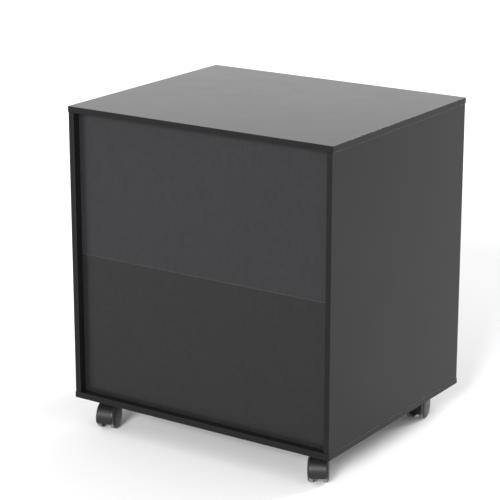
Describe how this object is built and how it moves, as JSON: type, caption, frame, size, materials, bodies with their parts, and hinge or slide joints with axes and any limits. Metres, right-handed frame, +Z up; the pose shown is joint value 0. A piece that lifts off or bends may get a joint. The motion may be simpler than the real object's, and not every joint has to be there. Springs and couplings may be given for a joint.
{
  "type": "mobile printer stand",
  "caption": "Black board cabinet on casters with a flat top, a drawer above a hinged door, and an open compartment with an adjustable shelf.",
  "frame": {"origin": "on the floor under the middle of the cabinet", "axes": "+Z up; the front with the drawer and the door faces -Y, the back +Y; left and right are as seen from the front"},
  "size_m": [0.6, 0.5, 0.66],
  "materials": {
    "black_melamine": "black melamine board with a fine satin texture and banded edges",
    "black_hardboard": "thin hardboard, black laminated face",
    "zinc_steel": "zinc-plated pressed steel",
    "black_plastic": "moulded black nylon, fine satin",
    "wheel_plastic": "black nylon wheel with a grey tread",
    "grey_plastic": "moulded grey nylon"
  },
  "bodies": {
    "cabinet": {"top_panel": "black_melamine", "bottom_panel": "black_melamine", "side_panel_left": "black_melamine", "side_panel_right": "black_melamine", "divider_panel": "black_melamine", "back_panel_upper": "black_hardboard", "back_panel_lower": "black_hardboard", "drawer_deck": "black_melamine", "cupboard_shelf": "black_melamine", "open_shelf": "black_melamine", "cupboard_shelf_pin_1": "zinc_steel", "cupboard_shelf_pin_2": "zinc_steel", "cupboard_shelf_pin_3": "zinc_steel", "cupboard_shelf_pin_4": "zinc_steel", "open_shelf_pin_1": "zinc_steel", "open_shelf_pin_2": "zinc_steel", "open_shelf_pin_3": "zinc_steel", "open_shelf_pin_4": "zinc_steel", "drawer_rail_left": "zinc_steel", "drawer_rail_right": "zinc_steel", "cabinet_hinge_leaf_lower": "zinc_steel", "cabinet_hinge_leaf_upper": "zinc_steel", "magnet_catch": "black_plastic", "caster_plate_back_right": "zinc_steel", "caster_plate_back_left": "zinc_steel", "caster_plate_front_left": "zinc_steel", "caster_plate_front_right": "zinc_steel"},
    "drawer": {"drawer_front": "black_melamine", "drawer_side_left": "black_melamine", "drawer_side_right": "black_melamine", "drawer_back": "black_melamine", "drawer_bottom": "black_hardboard", "drawer_runner_left": "zinc_steel", "drawer_runner_right": "zinc_steel"},
    "cage_left": {"ball_cage_left": "zinc_steel"},
    "cage_right": {"ball_cage_right": "zinc_steel"},
    "door": {"door_panel": "black_melamine", "door_hinge_leaf_lower": "zinc_steel", "door_hinge_leaf_upper": "zinc_steel", "catch_strike": "zinc_steel"},
    "caster_back_right": {"caster_hood_back_right": "black_plastic", "caster_axle_back_right": "zinc_steel"},
    "wheel_back_right_a": {"caster_wheel_back_right_a": "wheel_plastic"},
    "wheel_back_right_b": {"caster_wheel_back_right_b": "wheel_plastic"},
    "caster_back_left": {"caster_hood_back_left": "black_plastic", "caster_axle_back_left": "zinc_steel"},
    "wheel_back_left_a": {"caster_wheel_back_left_a": "wheel_plastic"},
    "wheel_back_left_b": {"caster_wheel_back_left_b": "wheel_plastic"},
    "caster_front_left": {"caster_hood_front_left": "black_plastic", "caster_axle_front_left": "zinc_steel"},
    "wheel_front_left_a": {"caster_wheel_front_left_a": "wheel_plastic"},
    "wheel_front_left_b": {"caster_wheel_front_left_b": "wheel_plastic"},
    "pedal_front_left": {"brake_pedal_front_left": "grey_plastic"},
    "caster_front_right": {"caster_hood_front_right": "black_plastic", "caster_axle_front_right": "zinc_steel"},
    "wheel_front_right_a": {"caster_wheel_front_right_a": "wheel_plastic"},
    "wheel_front_right_b": {"caster_wheel_front_right_b": "wheel_plastic"},
    "pedal_front_right": {"brake_pedal_front_right": "grey_plastic"}
  },
  "joints": [
    {"name": "drawer_slide", "type": "slide", "parent": "cabinet", "child": "drawer", "axis": [0, -1, 0], "range_m": [0, 0.3]},
    {"name": "cage_left_slide", "type": "slide", "parent": "cabinet", "child": "cage_left", "axis": [0, -1, 0], "range_m": [0, 0.15]},
    {"name": "cage_right_slide", "type": "slide", "parent": "cabinet", "child": "cage_right", "axis": [0, -1, 0], "range_m": [0, 0.15]},
    {"name": "door_hinge", "type": "hinge", "parent": "cabinet", "child": "door", "pos_m": [-0.2848, -0.248, 0.2765], "axis": [0, 0, -1], "range_deg": [0, 170]},
    {"name": "swivel_back_right", "type": "hinge", "parent": "cabinet", "child": "caster_back_right", "pos_m": [0.246, 0.198, 0.057], "axis": [0, 0, 1], "continuous": true},
    {"name": "spin_back_right_a", "type": "hinge", "parent": "caster_back_right", "child": "wheel_back_right_a", "pos_m": [0.24049, 0.21723, 0.025], "axis": [0.9613, 0.2756, 0], "continuous": true},
    {"name": "spin_back_right_b", "type": "hinge", "parent": "caster_back_right", "child": "wheel_back_right_b", "pos_m": [0.24049, 0.21723, 0.025], "axis": [0.9613, 0.2756, 0], "continuous": true},
    {"name": "swivel_back_left", "type": "hinge", "parent": "cabinet", "child": "caster_back_left", "pos_m": [-0.246, 0.198, 0.057], "axis": [0, 0, 1], "continuous": true},
    {"name": "spin_back_left_a", "type": "hinge", "parent": "caster_back_left", "child": "wheel_back_left_a", "pos_m": [-0.256, 0.21532, 0.025], "axis": [0.866, 0.5, 0], "continuous": true},
    {"name": "spin_back_left_b", "type": "hinge", "parent": "caster_back_left", "child": "wheel_back_left_b", "pos_m": [-0.256, 0.21532, 0.025], "axis": [0.866, 0.5, 0], "continuous": true},
    {"name": "swivel_front_left", "type": "hinge", "parent": "cabinet", "child": "caster_front_left", "pos_m": [-0.246, -0.198, 0.057], "axis": [0, 0, 1], "continuous": true},
    {"name": "spin_front_left_a", "type": "hinge", "parent": "caster_front_left", "child": "wheel_front_left_a", "pos_m": [-0.24947, -0.1783, 0.025], "axis": [0.9848, 0.1736, 0], "continuous": true},
    {"name": "spin_front_left_b", "type": "hinge", "parent": "caster_front_left", "child": "wheel_front_left_b", "pos_m": [-0.24947, -0.1783, 0.025], "axis": [0.9848, 0.1736, 0], "continuous": true},
    {"name": "brake_front_left", "type": "hinge", "parent": "caster_front_left", "child": "pedal_front_left", "pos_m": [-0.25208, -0.16353, 0.026], "axis": [-0.9848, -0.1736, 0], "range_deg": [0, 12]},
    {"name": "swivel_front_right", "type": "hinge", "parent": "cabinet", "child": "caster_front_right", "pos_m": [0.246, -0.198, 0.057], "axis": [0, 0, 1], "continuous": true},
    {"name": "spin_front_right_a", "type": "hinge", "parent": "caster_front_right", "child": "wheel_front_right_a", "pos_m": [0.23851, -0.17946, 0.025], "axis": [0.9272, 0.3746, 0], "continuous": true},
    {"name": "spin_front_right_b", "type": "hinge", "parent": "caster_front_right", "child": "wheel_front_right_b", "pos_m": [0.23851, -0.17946, 0.025], "axis": [0.9272, 0.3746, 0], "continuous": true},
    {"name": "brake_front_right", "type": "hinge", "parent": "caster_front_right", "child": "pedal_front_right", "pos_m": [0.23289, -0.16555, 0.026], "axis": [-0.9272, -0.3746, 0], "range_deg": [0, 12]}
  ],
  "couplings": [
    {"joint": "cage_left_slide", "follows": "drawer_slide", "ratio": 0.5},
    {"joint": "cage_right_slide", "follows": "drawer_slide", "ratio": 0.5}
  ]
}
